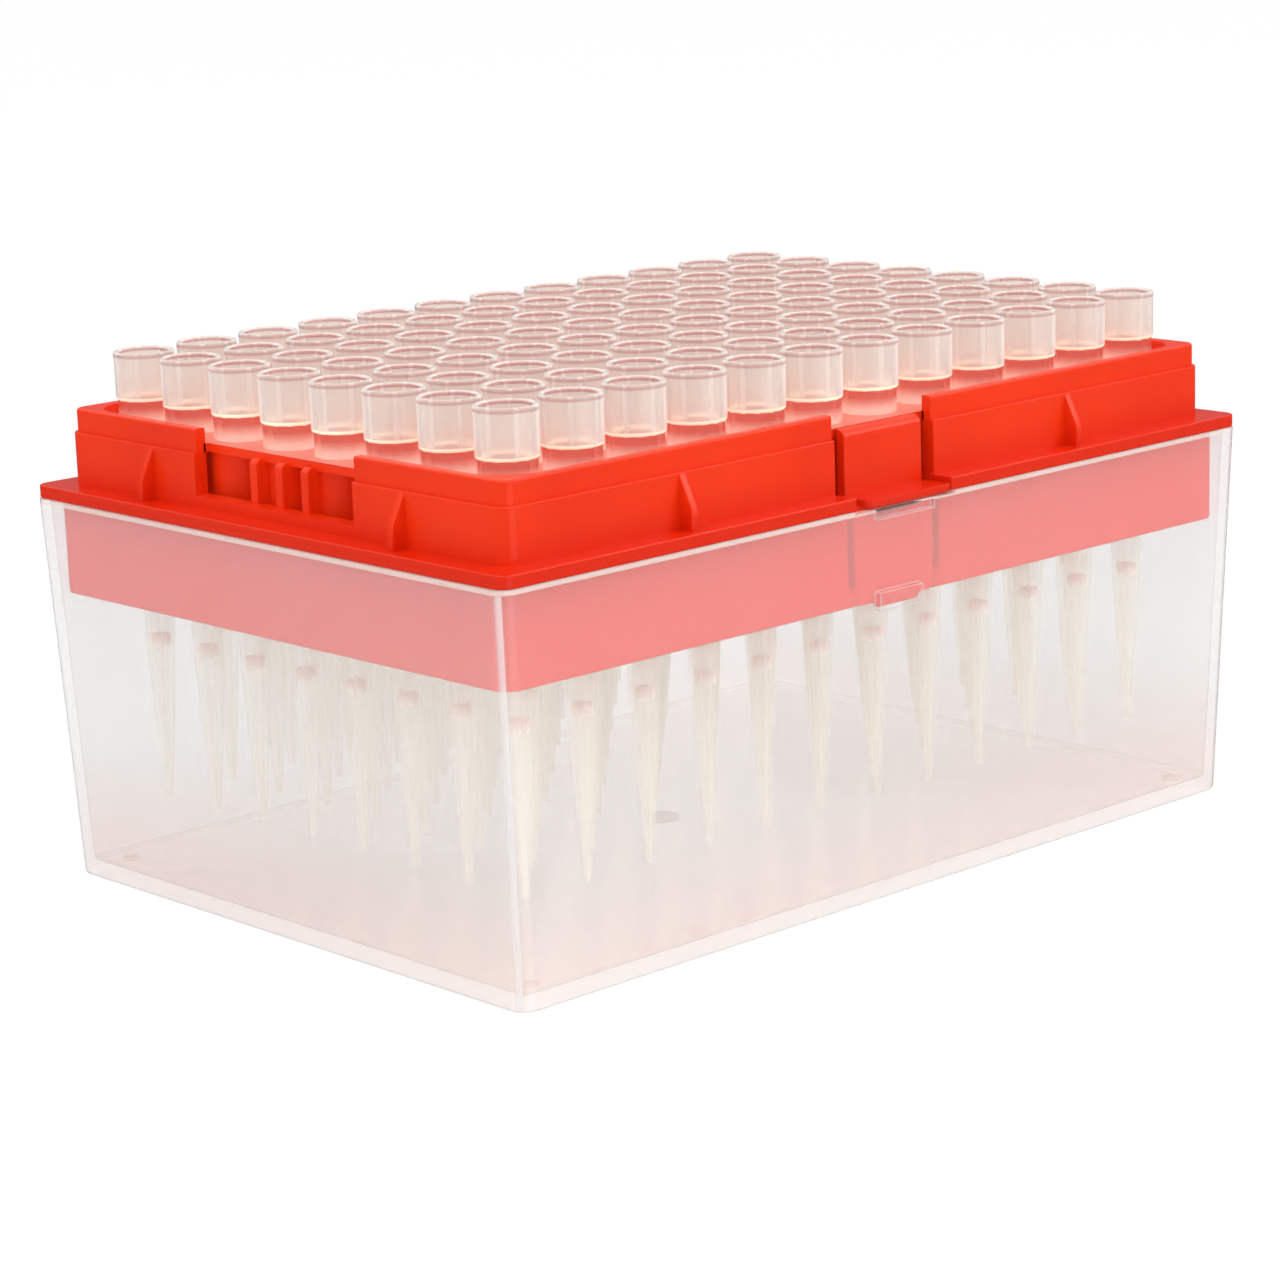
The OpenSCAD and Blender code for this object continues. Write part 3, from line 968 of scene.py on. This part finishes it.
@dataclass
class Rack:
    """The red rack: two-tier wall, flange, skirt, gussets, finger notches, and the deck with its sockets."""

    node: str = "rack"
    pitch: float = 9.0 * MM
    deck_z: float = 53.9 * MM
    deck_t: float = 1.0 * MM
    wall: float = 1.3 * MM
    tier_step: float = 0.4 * MM
    tier_z: float = 53.0 * MM
    flange_t: float = 1.5 * MM
    rim_z: float = 45.4 * MM
    flange_out: tuple[float, float] = (3.1 * MM, 3.0 * MM)
    skirt_inset: tuple[float, float] = (1.5 * MM, 1.8 * MM)
    skirt_t: float = 1.4 * MM
    inside_r: float = 5.0 * MM
    notch: tuple[float, float] = (27.8 * MM, 48.3 * MM)
    upper_r: float = 1.6 * MM
    lower_r: float = 2.0 * MM
    flange_r: float = 1.6 * MM
    skirt_r: float = 2.5 * MM
    skirt_inside_r: float = 1.1 * MM
    rim_edge: float = 0.3 * MM
    tier_edge: float = 0.12 * MM
    flange_edge: float = 0.18 * MM
    skirt_edge: float = 0.25 * MM
    inside_edge: float = 0.2 * MM
    latch_gap: float = 16.0 * MM
    ledge_gap: tuple[float, float] = (-7.85 * MM, 7.6 * MM)
    tongue_slot: tuple[float, float] = (14.9 * MM, 36.4 * MM)
    hairline: float = 12.94 * MM
    gusset: tuple[float, float, float] = (1.0 * MM, 1.8 * MM, 2.4 * MM)
    gusset_at: tuple[float, float] = (31.1 * MM, 22.0 * MM)
    rib_t: float = 1.3 * MM
    rib_front: float = 0.55 * MM
    rib_back: tuple[float, float] = (-52.8 * MM, -50.5 * MM)
    socket_r: float = 3.9 * MM
    bore_r: float = 3.05 * MM
    socket_len: float = 9.0 * MM
    columns: int = 12
    rows: int = 8

    def __post_init__(self) -> None:
        """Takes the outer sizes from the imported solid."""
        low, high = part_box(self.node)
        self.skirt_low, self.wall_top = low.z, high.z
        self.flange = (high.x - low.x, high.y - low.y)
        self.lower = tuple(size - 2 * out for size, out in zip(self.flange, self.flange_out))
        self.upper = tuple(size - 2 * self.tier_step for size in self.lower)
        self.inside = tuple(size - 2 * self.wall for size in self.upper)
        self.skirt = tuple(size - 2 * inset for size, inset in zip(self.flange, self.skirt_inset))
        self.flange_top = self.rim_z + self.flange_t

    def build(self, material: bpy.types.Material) -> None:
        """Models the rack and dresses it in a material."""
        wall = self._wall()
        cut_with(wall, self._cutters())
        self._round_rim(wall)
        rack = join([wall, *self._gussets(), *self._end_ribs(), self._deck()], "rack_moulding")
        smooth(rack)
        dress(rack, [material], Slot.RACK, BOX_BODY, self.node)

    def _wall(self) -> bpy.types.Object:
        """The two tiers, the flange and the skirt as overlapping plates with rounded edges."""
        return join(
            [
                add_plate(self.upper, self.rim_z, self.wall_top, self.upper_r, top_r=self.rim_edge),
                add_plate(self.lower, self.rim_z, self.tier_z, self.lower_r, top_r=self.tier_edge),
                add_plate(
                    self.flange, self.rim_z, self.flange_top, self.flange_r, self.flange_edge, self.flange_edge
                ),
                add_plate(
                    self.skirt, self.skirt_low, self.rim_z + MM / 2, self.skirt_r, low_r=self.skirt_edge
                ),
            ],
            "rack_wall",
        )

    def _cutters(self) -> list[bpy.types.Object]:
        """The tools for the inside, the notches and the space round the latch tabs."""
        above = self.wall_top + MM
        skirt_inside = tuple(size - 2 * self.skirt_t for size in self.skirt)
        tools = [
            add_plate(self.inside, self.rim_z - MM, above, self.inside_r),
            add_plate(skirt_inside, self.skirt_low - MM, self.rim_z, self.skirt_inside_r),
        ]
        half_gap, half_slot, half_line = self.latch_gap / 2, self.tongue_slot[0] / 2, self.hairline / 2
        half_notch, below = self.notch[0] / 2, self.rim_z - MM
        outside, inside = -self.flange[1] / 2 - MM, -self.inside[1] / 2
        skirt_y = (-self.skirt[1] / 2 - MM, -self.skirt[1] / 2 + self.skirt_t + MM)
        blocks = [
            ((-self.lower[0] / 2 - MM, -self.inside[0] / 2 + 0.4 * MM), (-half_notch, half_notch),
             (self.notch[1], above)),
            ((-half_gap, half_gap), (outside, inside), (self.flange_top, above)),
            (self.ledge_gap, (outside, inside + 0.2 * MM), (below, self.flange_top + MM)),
            ((-half_slot, half_slot), skirt_y, (self.tongue_slot[1], self.rim_z + MM)),
            ((-half_line, half_line), skirt_y, (self.skirt_low - MM, self.tongue_slot[1] + MM)),
        ]
        for reach in blocks:
            tools.extend(on_both_sides(add_block(*zip(*reach), "cutter")))
        return tools

    def _round_rim(self, wall: bpy.types.Object) -> None:
        """Rounds the wall's inner top edge."""
        half_x, half_y = (size / 2 + TOUCH for size in self.inside)
        with Editing(wall) as edit:
            edit.edges(
                lambda end: abs(end.z - self.wall_top) < TOUCH and abs(end.x) < half_x and abs(end.y) < half_y
            )
            bevel(self.inside_edge, 2)

    def _gussets(self) -> list[bpy.types.Object]:
        """The small gussets between the flange and the lower tier, one on each half of each side."""
        thick, out, step = self.gusset
        top = self.tier_z - 0.1 * MM
        made = []
        sides = zip((0, -math.pi / 2), reversed(self.lower), self.gusset_at)
        for turn, size, along in sides:
            across = size / 2
            gusset = add_block(
                (along - thick / 2, -across - out, self.flange_top - MM / 2),
                (along + thick / 2, -across + MM / 2, top),
                "gusset",
            )
            slice_off(gusset, (0, -across, top), (0, self.flange_top + step - top, out))
            soften(gusset, 0.16 * MM)
            other = copy_turned(gusset, Matrix.Translation((-2 * along, 0, 0)), "gusset")
            for one in (gusset, other):
                one.data.transform(Matrix.Rotation(turn, 4, "Z"))
                made.extend(on_both_sides(one))
        return made

    def _end_ribs(self) -> list[bpy.types.Object]:
        """The upright ribs that stand in the finger notches."""
        made = []
        front = -self.upper[0] / 2 + self.rib_front
        outer_back, middle_back = self.rib_back
        for step, back in ((-1, outer_back), (0, middle_back), (1, outer_back)):
            centre = step * self.pitch / 2
            rib = add_block(
                (front, centre - self.rib_t / 2, self.flange_top - MM / 2),
                (back, centre + self.rib_t / 2, self.deck_z - 0.6 * MM),
                "rib",
            )
            slice_off(rib, (front, 0, self.deck_z - 1.1 * MM), (-1, 0, 1))
            soften(rib, 0.15 * MM)
            made.extend(on_both_sides(rib))
        return made

    def _deck(self) -> bpy.types.Object:
        """The deck, as square cells with a socket in each, run on into the wall."""
        cell = self._cell()
        for count, step in ((self.columns, (self.pitch, 0, 0)), (self.rows, (0, self.pitch, 0))):
            apply_modifier(
                cell, "ARRAY", count=count, use_relative_offset=False, use_constant_offset=True,
                constant_offset_displace=step, use_merge_vertices=True, merge_threshold=2e-6,
            )
        first_x, first_y = (-(count - 1) / 2 * self.pitch for count in (self.columns, self.rows))
        home = Matrix.Translation((first_x, first_y, 0))
        cell.data.transform(home)
        apply_modifier(cell, "SOLIDIFY", thickness=self.deck_t, offset=-1.0)
        return join([cell, self._deck_frame(), *self._sockets(home)], "deck")

    def _sockets(self, home: Matrix) -> list[bpy.types.Object]:
        """The sockets' tubes under the deck, from the first one's place on."""
        low, high = self.deck_z - self.socket_len, self.deck_z - self.deck_t / 2
        section = [(self.bore_r, low), (self.socket_r, low), (self.socket_r, high), (self.bore_r, high)]
        tube = lathe(section, 32, "socket")
        sockets = [
            copy_turned(tube, Matrix.Translation((column * self.pitch, row * self.pitch, 0)) @ home, "socket")
            for column in range(self.columns)
            for row in range(self.rows)
        ]
        bpy.data.objects.remove(tube)
        return sockets

    def _deck_frame(self) -> bpy.types.Object:
        """The deck's border round the cells, cut back at the notches and the latch tabs."""
        border = add_plate(
            (self.inside[0] + MM / 2, self.inside[1] + MM / 2), self.deck_z - self.deck_t, self.deck_z, MM
        )
        cells = (self.columns / 2 * self.pitch, self.rows / 2 * self.pitch)
        reach = (self.flange[0] / 2, self.flange[1] / 2)
        hole, notch, gap = (
            add_block((*low, self.deck_z - 2 * self.deck_t), (*high, self.deck_z + MM), "cutter")
            for low, high in (
                ((-cells[0], -cells[1]), cells),
                ((-reach[0], -self.notch[0] / 2), (-cells[0], self.notch[0] / 2)),
                ((-self.latch_gap / 2, -reach[1]), (self.latch_gap / 2, -self.inside[1] / 2)),
            )
        )
        cut_with(border, [hole, *on_both_sides(notch), *on_both_sides(gap)])
        return border

    def _cell(self) -> bpy.types.Object:
        """One cell of the deck's top face, with its round hole."""
        deselect_all()
        half = self.pitch / 2
        bpy.ops.mesh.primitive_circle_add(vertices=32, radius=self.bore_r, location=(0, 0, self.deck_z))
        cell = bpy.context.object
        bpy.ops.object.transform_apply(location=True)
        with Editing(cell):
            bpy.ops.mesh.select_mode(type="EDGE")
            bpy.ops.mesh.select_all(action="SELECT")
            bpy.ops.mesh.extrude_edges_move(TRANSFORM_OT_translate={"value": (0, 0, 0)})
            grow = 2 * half / self.bore_r
            bpy.ops.transform.resize(value=(grow, grow, 1), center_override=(0, 0, self.deck_z))
            bpy.ops.mesh.select_all(action="SELECT")
            bpy.ops.mesh.flip_normals()
            cage = bmesh.from_edit_mesh(cell.data)
            for vert in cage.verts:
                vert.co.x = max(-half, min(half, vert.co.x))
                vert.co.y = max(-half, min(half, vert.co.y))
            bmesh.update_edit_mesh(cell.data)
        return cell


def on_both_sides(piece: bpy.types.Object) -> list[bpy.types.Object]:
    """The piece and a copy of it on the other side of the box, half a turn away."""
    return [piece, copy_turned(piece, HALF_TURN, piece.name)]


@dataclass
class LatchTab:
    """A latch tab: a block in the wall's gap, a ledge over the rim, a tongue in the skirt and its hook."""

    block_x: float = 6.25 * MM
    block_y: tuple[float, float] = (-37.9 * MM, -36.6 * MM)
    block_z: tuple[float, float] = (45.35 * MM, 53.9 * MM)
    top_r: float = 1.0 * MM
    ledge_x: tuple[float, float] = (-5.6 * MM, 7.5 * MM)
    ledge_front: float = -41.05 * MM
    ledge_top: float = 46.25 * MM
    ledge_r: float = 1.3 * MM
    tongue_x: float = 6.35 * MM
    tongue_y: tuple[float, float] = (-39.3 * MM, -37.9 * MM)
    tongue_low: float = 34.2 * MM
    tongue_r: float = 0.7 * MM
    hook_x: float = 3.1 * MM
    hook_z: tuple[float, float] = (33.7 * MM, 35.2 * MM)
    hook_out: float = 1.0 * MM

    def build(self, material: bpy.types.Material) -> None:
        """Models the front tab and turns a copy of it to the back; dresses both."""
        front = join([self._block(), self._ledge(), self._tongue(), self._hook()], "latch_tab_front_moulding")
        smooth(front)
        back = copy_turned(front, HALF_TURN, "latch_tab_back_moulding")
        dress(front, [material], Slot.RACK, "latch_front", "latch_tab_front")
        dress(back, [material], Slot.RACK, "latch_back", "latch_tab_back")

    def _block(self) -> bpy.types.Object:
        """The upright block, with its top front edge round about the bend."""
        (front, back), (low, top) = self.block_y, self.block_z
        block = add_block((-self.block_x, front, low), (self.block_x, back, top), "block")
        with Editing(block) as edit:
            edit.edges(lambda end: end.y < front + TOUCH and end.z > top - TOUCH)
            bevel(self.top_r, 8)
        return soften(block, 0.16 * MM, 3)

    def _ledge(self) -> bpy.types.Object:
        """The ledge, with one round front corner."""
        (left, right), front = self.ledge_x, self.ledge_front
        ledge = add_block((left, front, self.block_z[0]), (right, self.block_y[1], self.ledge_top), "ledge")
        with Editing(ledge) as edit:
            edit.edges(lambda end: end.y < front + TOUCH and end.x < left + TOUCH)
            bevel(self.ledge_r, 6)
        return soften(ledge, 0.14 * MM)

    def _tongue(self) -> bpy.types.Object:
        """The tongue in the skirt's plane, with round lower corners."""
        tongue = add_block(
            (-self.tongue_x, self.tongue_y[0], self.tongue_low),
            (self.tongue_x, self.tongue_y[1], self.block_z[0] + 0.3 * MM),
            "tongue",
        )
        with Editing(tongue) as edit:
            edit.edges(lambda end: end.z < self.tongue_low + TOUCH, lambda span: abs(span.x) < TOUCH)
            bevel(self.tongue_r, 5)
        return soften(tongue, 0.12 * MM)

    def _hook(self) -> bpy.types.Object:
        """The hook at the tongue's lower end, slanted below."""
        front, (low, top) = self.tongue_y[0], self.hook_z
        hook = add_block((-self.hook_x, front - self.hook_out, low), (self.hook_x, front + MM / 2, top), "hook")
        slice_off(hook, (0, front - 0.4 * self.hook_out, low), (0, -1, -0.6))
        return soften(hook, 0.1 * MM)


def filter_of(tips_node: str) -> str:
    """The name of the filters' node that goes with a column of tips."""
    return tips_node.replace("tips", "filters")


@dataclass
class Tips:
    """All tips and their filters, one object a column."""

    pitch: float = 9.0 * MM
    rim_r: float = 3.5 * MM
    mouth_r: float = 2.75 * MM
    deck_z: float = 53.9 * MM
    collar_low_z: float = 56.6 * MM
    neck_r: float = 2.95 * MM
    knee: tuple[float, float] = (1.25 * MM, 20.2 * MM)
    end_r: float = 0.4 * MM
    ribs: int = 12
    segments: int = 36
    rib_out: float = 0.26 * MM
    collar_edge: float = 0.4 * MM
    lean: float = math.radians(0.3)
    seed: int = 7
    finish: TipPlastic = field(default_factory=TipPlastic)
    filter_finish: FilterPlastic = field(default_factory=FilterPlastic)

    def __post_init__(self) -> None:
        """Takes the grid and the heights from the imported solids."""
        low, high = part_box(COLUMNS[0])
        self.end_z, self.top_z = low.z, high.z
        self.rows = round((high.y - low.y - 2 * self.rim_r) / self.pitch) + 1
        low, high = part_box(filter_of(COLUMNS[0]))
        self.filter_z, self.filter_top = low.z, high.z
        self.filter_r = (high.x - low.x) / 2

    def _profile(self) -> list[tuple[float, float]]:
        """The section of one tip: up its outside from the nozzle, and down its bore."""
        top, deck, collar = self.top_z, self.deck_z, self.collar_low_z
        bore = self.filter_r + 0.02 * MM
        return [
            (self.end_r - 0.05 * MM, self.end_z),
            (self.end_r, self.end_z + 0.1 * MM),
            self.knee,
            (self.neck_r - 0.05 * MM, deck - 0.3 * MM),
            (self.neck_r, deck),
            (self.neck_r, collar),
            (self.rim_r - 0.35 * MM, collar + 0.02 * MM),
            (self.rim_r - 0.15 * MM, collar + 0.12 * MM),
            (self.rim_r - 0.07 * MM, collar + self.collar_edge),
            (self.rim_r - 0.05 * MM, top - 1.1 * MM),
            (self.rim_r - 0.01 * MM, top - 0.8 * MM),
            (self.rim_r, top - 0.25 * MM),
            (self.rim_r - 0.07 * MM, top - 0.06 * MM),
            (self.rim_r - 0.2 * MM, top),
            (self.mouth_r + 0.42 * MM, top - 0.01 * MM),
            (self.mouth_r + 0.12 * MM, top - 0.16 * MM),
            (self.mouth_r, top - 0.28 * MM),
            (self.mouth_r - 0.04 * MM, top - 0.45 * MM),
            (self.mouth_r - 0.06 * MM, collar + 0.5 * MM),
            (self.mouth_r - 0.12 * MM, collar + 0.36 * MM),
            (self.mouth_r - 0.4 * MM, collar + 0.3 * MM),
            (self.mouth_r - 0.48 * MM, collar + 0.1 * MM),
            (self.mouth_r - 0.5 * MM, deck),
            (bore + 0.08 * MM, self.filter_top + 2 * MM),
            (bore, self.filter_top + 0.5 * MM),
            (bore, self.filter_z),
            (bore - 0.35 * MM, self.filter_z - 0.05 * MM),
            (self.end_r - 0.2 * MM, self.end_z),
        ]

    def _model_tip(self) -> bpy.types.Object:
        """Models one tip on the Z axis, with its ribs under the collar."""
        tip = lathe(self._profile(), self.segments, "tip")
        step = self.segments // self.ribs

        def on_rib(face: bmesh.types.BMFace) -> bool:
            middle = face.calc_center_median()
            flat = math.hypot(middle.x, middle.y)
            if not (self.deck_z < middle.z < self.collar_low_z and flat > self.neck_r - 0.2 * MM):
                return False
            share = math.atan2(middle.y, middle.x) / (2 * math.pi) * self.segments
            return math.floor(share + TOUCH) % step == 0

        with Editing(tip) as edit:
            edit.faces(on_rib)
            bpy.ops.mesh.extrude_region_shrink_fatten(
                TRANSFORM_OT_shrink_fatten={"value": self.rib_out, "use_even_offset": False}
            )
        self._map_round(tip)
        smooth(tip, 50)
        return tip

    def _map_round(self, tip: bpy.types.Object) -> None:
        """Gives the tip a UV map: U runs once round its axis, V is the distance from it in centimetres."""
        layer = tip.data.uv_layers.new(name=TIP_UV)
        for face in tip.data.polygons:
            middle = math.atan2(face.center.y, face.center.x)
            for corner in face.loop_indices:
                spot = tip.data.vertices[tip.data.loops[corner].vertex_index].co
                turn = math.atan2(spot.y, spot.x)
                turn += 2 * math.pi * round((middle - turn) / (2 * math.pi))
                layer.data[corner].uv = (turn / (2 * math.pi), math.hypot(spot.x, spot.y) / (10 * MM))

    def _model_filter(self) -> bpy.types.Object:
        """Models one filter plug on the Z axis, with soft edges."""
        soft = 0.15 * MM
        low, top, radius = self.filter_z, self.filter_top, self.filter_r
        plug = lathe(
            [
                (0.02 * MM, low),
                (radius - soft, low),
                (radius, low + soft),
                (radius, top - soft),
                (radius - soft, top),
                (radius * 0.5, top - 0.05 * MM),
                (0.02 * MM, top - 0.08 * MM),
            ],
            20,
            "filter_plug",
        )
        smooth(plug, 50)
        return plug

    def build(self) -> None:
        """Copies the tip and its filter to every place on the grid, and dresses each column."""
        tip, plug = self._model_tip(), self._model_filter()
        tip_materials = [
            self.finish.collar_material(self.top_z / MM),
            self.finish.body_material(self.deck_z / MM, self.collar_low_z / MM),
        ]
        filter_material = self.filter_finish.material(self.filter_z / MM, self.filter_top / MM)
        chance = random.Random(self.seed)
        for node in COLUMNS:
            low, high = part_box(node)
            centre_x, filter_node = (low.x + high.x) / 2, filter_of(node)
            rows = ((row - (self.rows - 1) / 2) * self.pitch for row in range(self.rows))
            placings = [self._placing(centre_x, centre_y, chance) for centre_y in rows]
            column = join([copy_turned(tip, placing, "tip") for placing in placings], f"{node}_moulded")
            dress(column, tip_materials, Slot.TIP, BOX_BODY, node)
            for face in column.data.polygons:
                face.material_index = int(face.center.z < self.collar_low_z + self.collar_edge)
            plugs = join([copy_turned(plug, placing, "plug") for placing in placings], f"{filter_node}_pressed")
            dress(plugs, [filter_material], Slot.FILTER, BOX_BODY, filter_node)
        bpy.data.objects.remove(tip)
        bpy.data.objects.remove(plug)

    def _placing(self, centre_x: float, centre_y: float, chance: random.Random) -> Matrix:
        """Where one tip stands: on its socket, turned at random and leaning by a hair.

        Args:
            centre_x: The socket's X.
            centre_y: The socket's Y.
            chance: The seeded source of the turn and the lean.

        Returns:
            The move.
        """
        socket = Vector((centre_x, centre_y, 0))
        seat = Matrix.Translation((0, 0, self.deck_z))
        heading = chance.uniform(0, 2 * math.pi)
        axis = Vector((math.cos(heading), math.sin(heading), 0))
        lean = Matrix.Rotation(chance.uniform(0, self.lean), 4, axis)
        turn = Matrix.Rotation(chance.uniform(0, 2 * math.pi), 4, "Z")
        return Matrix.Translation(socket) @ seat @ lean @ seat.inverted() @ turn


# ---------------------------------------------------------------- studio


@dataclass
class Studio:
    """A white floor and room, soft lamps and the camera."""

    camera_place: Vector = field(default_factory=lambda: Vector((-294.7, -314.9, 124.2)) * MM)
    azimuth: float = math.radians(-42.85)
    elevation: float = math.radians(13.13)
    roll: float = math.radians(-1.93)
    lens: float = 103.94
    floor_size: float = 12.0
    room_light: tuple[float, float] = (0.96, 0.45)
    lamps: tuple[tuple[str, tuple[float, float, float], float, float], ...] = (
        ("lamp_top", (-0.1, -0.15, 0.9), 0.9, 4.6),
        ("lamp_right", (0.7, -0.8, 0.55), 0.6, 2.6),
        ("lamp_left", (-0.9, 0.1, 0.5), 0.6, 0.9),
    )

    def build(self) -> None:
        """Makes the room, the lamps and the camera."""
        self._room()
        self._floor()
        for name, place, size, watts in self.lamps:
            self._lamp(name, Vector(place), size, watts)
        self._camera()
        scene = bpy.context.scene
        scene.view_settings.view_transform = "Standard"
        settings = {
            "max_bounces": 8,
            "diffuse_bounces": 2,
            "glossy_bounces": 3,
            "transmission_bounces": 8,
            "transparent_max_bounces": 64,
            "use_denoising": True,
            "denoising_input_passes": "RGB_ALBEDO",
            "adaptive_threshold": 0.05,
            "adaptive_min_samples": 16,
        }
        for name, value in settings.items():
            setattr(scene.cycles, name, value)

    def _room(self) -> None:
        """White for the eye; gloss sees a bright ceiling over walls that darken to the left; else soft light."""
        tree = ShaderTree(bpy.data.worlds.new("room"))
        x, y, z = tree.axes("Generated")
        heading = (0.0 - y).heading(0.0 - x)
        dark = heading.band((-36, -26), (56, 66))
        bright = heading.band((66, 74), (108, 116))
        walls = dark * -0.14 + bright + 0.14
        gloss = walls + (1.1 - walls) * z.ramp(0.1, 0.7)
        room = z.ramp(0.0, 0.8, *self.room_light)
        level = tree.mirrored() * (gloss - 1.0) + tree.ray("Diffuse") * (room - 1.0) + 1.0
        bpy.context.scene.world = tree.close(
            tree.add("ShaderNodeBackground", inputs={"Color": WHITE, "Strength": level})
        )

    def _floor(self) -> None:
        """A white floor that keeps a faint shadow; gloss looks through it at the room's darker walls."""
        deselect_all()
        bpy.ops.mesh.primitive_plane_add(size=self.floor_size, location=(0, 0, -0.02 * MM))
        floor = bpy.context.object
        floor.name = "studio_floor"
        tree = ShaderTree.of_material("white_floor")
        straight = tree.ray("Camera").most(tree.ray("Transmission"))
        seen = tree.add("ShaderNodeEmission", inputs={"Color": WHITE, "Strength": 1.03})
        paint = tree.add("ShaderNodeBsdfDiffuse", inputs={"Color": (0.92, 0.92, 0.92, 1)})
        white = tree.mix(straight * 0.93, paint, seen)
        clear = tree.add("ShaderNodeBsdfTransparent")
        floor.data.materials.append(tree.close(tree.mix(tree.mirrored(), white, clear)))

    def _lamp(self, name: str, place: Vector, size: float, watts: float) -> None:
        """Adds a soft lamp that faces the object.

        Args:
            name: The lamp's name.
            place: Where it hangs.
            size: Its width.
            watts: Its power.
        """
        light = bpy.data.lights.new(name, "AREA")
        light.size, light.energy = size, watts
        lamp = bpy.data.objects.new(name, light)
        bpy.context.scene.collection.objects.link(lamp)
        lamp.location = place
        lamp.rotation_euler = (Vector((0, 0, 0.03)) - place).to_track_quat("-Z", "Y").to_euler()

    def _camera(self) -> None:
        """The camera, from its place, its angles and its lens."""
        level, lift = self.azimuth, self.elevation
        ahead = Vector((-math.sin(level) * math.cos(lift), math.cos(level) * math.cos(lift), -math.sin(lift)))
        right = Vector((math.cos(level), math.sin(level), 0))
        up = right.cross(ahead)
        tilted_right = right * math.cos(self.roll) + up * math.sin(self.roll)
        tilted_up = up * math.cos(self.roll) - right * math.sin(self.roll)
        turn = Matrix((tilted_right, tilted_up, -ahead)).transposed()
        data = bpy.data.cameras.new("camera")
        data.lens, data.sensor_width = self.lens, 36.0
        data.clip_start, data.clip_end = 0.01, 50.0
        camera = bpy.data.objects.new("camera", data)
        bpy.context.scene.collection.objects.link(camera)
        camera.matrix_world = Matrix.Translation(self.camera_place) @ turn.to_4x4()
        bpy.context.scene.camera = camera


def main() -> None:
    """Builds every piece and the studio, in order."""
    logging.basicConfig(level=logging.INFO, format="%(name)s: %(message)s")
    Tub().build()
    rack = Rack()
    red = RedPlastic().material(
        inside=tuple(size / 2 / MM for size in rack.inside), deck_z=rack.deck_z / MM, rim_z=rack.rim_z / MM
    )
    rack.build(red)
    LatchTab().build(red)
    Tips().build()
    Studio().build()


if __name__ == "__main__":
    main()
